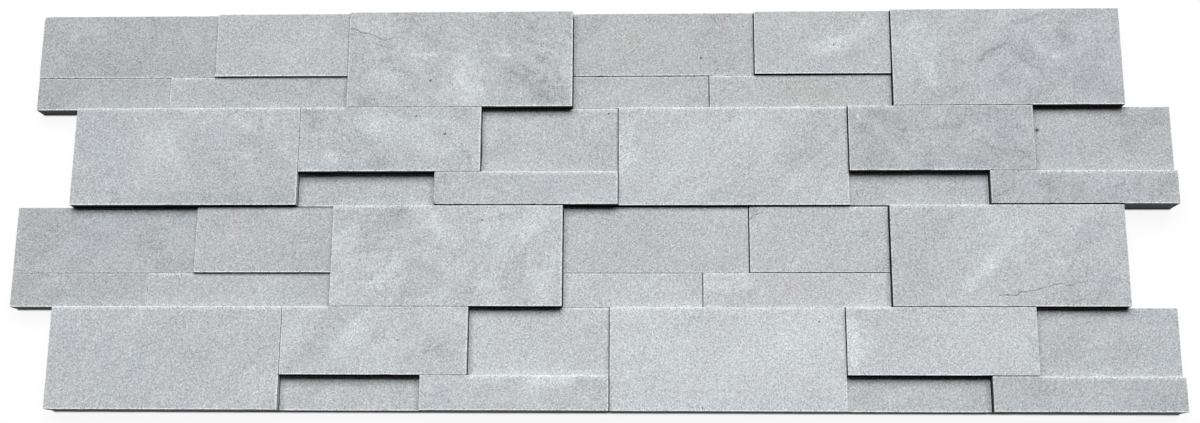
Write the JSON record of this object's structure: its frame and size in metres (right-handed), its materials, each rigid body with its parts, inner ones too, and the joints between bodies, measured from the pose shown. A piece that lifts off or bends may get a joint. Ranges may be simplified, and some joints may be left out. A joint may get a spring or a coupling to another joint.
{
  "type": "stone ledger panel",
  "caption": "Wall cladding panel of sawn grey stones in several stock sizes and thicknesses, glued edge to edge in staggered courses, with stepped ends that key into the next panel.",
  "frame": {"origin": "middle of the panel's box, on the flat back that it lies on", "axes": "+X along the courses, +Y up the wall that the panel clads, +Z out of the stones' faces"},
  "size_m": [0.577, 0.2022, 0.0124],
  "materials": {
    "stone": "fine-grained grey stone, sawn flat, matt, with a fine salt and pepper speckle and worn edges"
  },
  "bodies": {
    "root": {"course_1_left_large": "stone", "course_1_left_long_band": "stone", "course_1_left_short_band": "stone", "course_1_left_short_strip": "stone", "course_1_left_long_strip": "stone", "course_1_right_large": "stone", "course_1_right_long_band": "stone", "course_1_right_short_band": "stone", "course_1_right_short_strip": "stone", "course_1_right_long_strip": "stone", "course_2_left_large": "stone", "course_2_left_long_band": "stone", "course_2_left_short_band": "stone", "course_2_left_short_strip": "stone", "course_2_left_long_strip": "stone", "course_2_right_large": "stone", "course_2_right_long_band": "stone", "course_2_right_short_band": "stone", "course_2_right_short_strip": "stone", "course_2_right_long_strip": "stone", "course_3_left_large": "stone", "course_3_left_long_band": "stone", "course_3_left_short_band": "stone", "course_3_left_short_strip": "stone", "course_3_left_long_strip": "stone", "course_3_right_large": "stone", "course_3_right_long_band": "stone", "course_3_right_short_band": "stone", "course_3_right_short_strip": "stone", "course_3_right_long_strip": "stone", "course_4_left_large": "stone", "course_4_left_long_band": "stone", "course_4_left_short_band": "stone", "course_4_left_short_strip": "stone", "course_4_left_long_strip": "stone", "course_4_right_large": "stone", "course_4_right_long_band": "stone", "course_4_right_short_band": "stone", "course_4_right_short_strip": "stone", "course_4_right_long_strip": "stone"}
  },
  "joints": []
}
